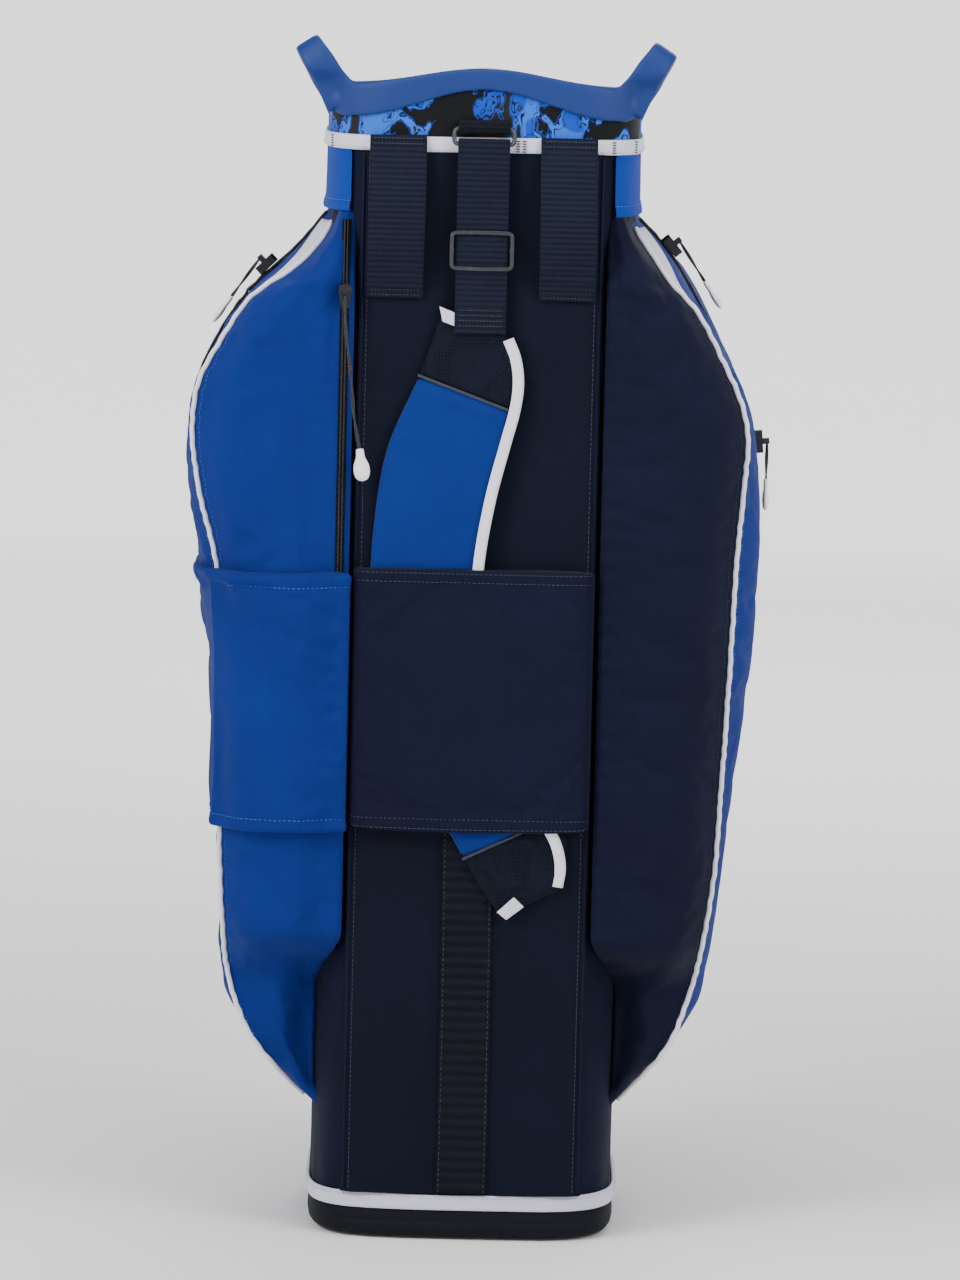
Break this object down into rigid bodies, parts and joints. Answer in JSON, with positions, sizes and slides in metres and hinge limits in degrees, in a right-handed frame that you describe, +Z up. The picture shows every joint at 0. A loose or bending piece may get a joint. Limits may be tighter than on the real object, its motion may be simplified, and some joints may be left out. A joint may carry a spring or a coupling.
{
  "type": "golf cart bag",
  "caption": "Free-standing golf cart bag with a divided top, moulded collar with side lift handles, side and front pockets, and a stowed shoulder strap.",
  "frame": {"origin": "centre of the underside, where the bag stands on the ground", "axes": "+Z up, -Y towards the strap side (the back), +X to the right when looking at the strap side"},
  "size_m": [0.4572, 0.362, 0.9392],
  "materials": {
    "base_plastic": "matte",
    "grip_rubber": "matte",
    "white_binding": "matte",
    "liner_plastic": "matte",
    "navy_fabric": "matte",
    "blue_fabric": "matte",
    "printed_fabric": "matte",
    "webbing": "matte",
    "strap_mesh": "matte",
    "collar_plastic": "satin",
    "lining_fabric": "matte",
    "black_metal": "satin",
    "pull_cord": "matte",
    "white_plastic": "satin"
  },
  "bodies": {
    "bag": {"base_grip_pad": "grip_rubber", "base_cup": "base_plastic", "base_trim": "white_binding", "body_liner": "liner_plastic", "body_skin": "navy_fabric", "spine_panel": "navy_fabric", "spine_webbing": "webbing", "cuff_side_band": "blue_fabric", "cuff_band": "printed_fabric", "cuff_trim": "white_binding", "top_collar": "collar_plastic", "cross_divider_rear": "lining_fabric", "cross_divider_middle": "lining_fabric", "cross_divider_front": "lining_fabric", "short_divider_row1_1": "lining_fabric", "short_divider_row1_2": "lining_fabric", "short_divider_row2_1": "lining_fabric", "short_divider_row2_2": "lining_fabric", "short_divider_row2_3": "lining_fabric", "short_divider_row3_1": "lining_fabric", "short_divider_row3_2": "lining_fabric", "short_divider_row3_3": "lining_fabric", "short_divider_row4_1": "lining_fabric", "short_divider_row4_2": "lining_fabric", "left_side_pocket": "blue_fabric", "right_side_pocket": "navy_fabric", "ball_pocket": "blue_fabric", "accessory_pocket": "navy_fabric", "cart_strap_tunnel": "blue_fabric", "strap_sleeve": "navy_fabric", "cart_strap_loop_left": "webbing", "cart_strap_loop_right": "webbing", "ring_anchor_loop": "webbing", "strap_ring": "black_metal", "strap_webbing": "webbing", "strap_cap_upper": "strap_mesh", "strap_pad": "blue_fabric", "strap_cap_lower": "strap_mesh"},
    "buckle": {"strap_buckle": "black_metal"},
    "rear_left_slider": {"rear_left_zip_slider": "black_metal"},
    "rear_left_pull": {"rear_left_zip_cord": "pull_cord", "rear_left_zip_tip": "white_plastic"},
    "left_shoulder_slider": {"left_shoulder_zip_slider": "black_metal"},
    "left_shoulder_pull": {"left_shoulder_zip_cord": "pull_cord", "left_shoulder_zip_tip": "white_plastic"},
    "right_shoulder_slider": {"right_shoulder_zip_slider": "black_metal"},
    "right_shoulder_pull": {"right_shoulder_zip_cord": "pull_cord", "right_shoulder_zip_tip": "white_plastic"},
    "right_side_slider": {"right_side_zip_slider": "black_metal"},
    "right_side_pull": {"right_side_zip_cord": "pull_cord", "right_side_zip_tip": "white_plastic"},
    "ball_slider": {"ball_pocket_zip_slider": "black_metal"},
    "ball_pull": {"ball_pocket_zip_cord": "pull_cord", "ball_pocket_zip_tip": "white_plastic"},
    "accessory_slider": {"accessory_pocket_zip_slider": "black_metal"},
    "accessory_pull": {"accessory_pocket_zip_cord": "pull_cord", "accessory_pocket_zip_tip": "white_plastic"}
  },
  "joints": [
    {"name": "buckle_slide", "type": "slide", "parent": "bag", "child": "buckle", "axis": [0, 0, 1], "range_m": [-0.012, 0.05]},
    {"name": "rear_left_zip", "type": "slide", "parent": "bag", "child": "rear_left_slider", "axis": [0, 0, 1], "range_m": [-0.06, 0.015]},
    {"name": "rear_left_swing", "type": "hinge", "parent": "rear_left_slider", "child": "rear_left_pull", "pos_m": [-0.104, -0.1384, 0.74], "axis": [-0.9934, 0, -0.115], "range_deg": [0, 80]},
    {"name": "left_shoulder_zip", "type": "slide", "parent": "bag", "child": "left_shoulder_slider", "axis": [0.7161, 0, 0.698], "range_m": [-0.015, 0.012]},
    {"name": "left_shoulder_swing", "type": "hinge", "parent": "left_shoulder_slider", "child": "left_shoulder_pull", "pos_m": [-0.17328, -0.024, 0.76048], "axis": [0, 1, 0], "range_deg": [0, 80]},
    {"name": "right_shoulder_zip", "type": "slide", "parent": "bag", "child": "right_shoulder_slider", "axis": [-0.6402, 0, 0.7682], "range_m": [-0.015, 0.012]},
    {"name": "right_shoulder_swing", "type": "hinge", "parent": "right_shoulder_slider", "child": "right_shoulder_pull", "pos_m": [0.15395, -0.024, 0.78164], "axis": [0, -1, 0], "range_deg": [0, 80]},
    {"name": "right_side_zip", "type": "slide", "parent": "bag", "child": "right_side_slider", "axis": [-0.085, 0, 0.9964], "range_m": [-0.028, 0.008]},
    {"name": "right_side_swing", "type": "hinge", "parent": "right_side_slider", "child": "right_side_pull", "pos_m": [0.22856, 0.004, 0.62294], "axis": [0, -1, 0], "range_deg": [0, 80]},
    {"name": "ball_zip", "type": "slide", "parent": "bag", "child": "ball_slider", "axis": [1, 0, 0], "range_m": [-0.105, 0.003]},
    {"name": "ball_swing", "type": "hinge", "parent": "ball_slider", "child": "ball_pull", "pos_m": [0.052, 0.2138, 0.392], "axis": [1, 0, 0], "range_deg": [0, 80]},
    {"name": "accessory_zip", "type": "slide", "parent": "bag", "child": "accessory_slider", "axis": [1, 0, 0], "range_m": [-0.095, 0.003]},
    {"name": "accessory_swing", "type": "hinge", "parent": "accessory_slider", "child": "accessory_pull", "pos_m": [0.046, 0.1898, 0.712], "axis": [1, 0, 0], "range_deg": [0, 80]}
  ]
}
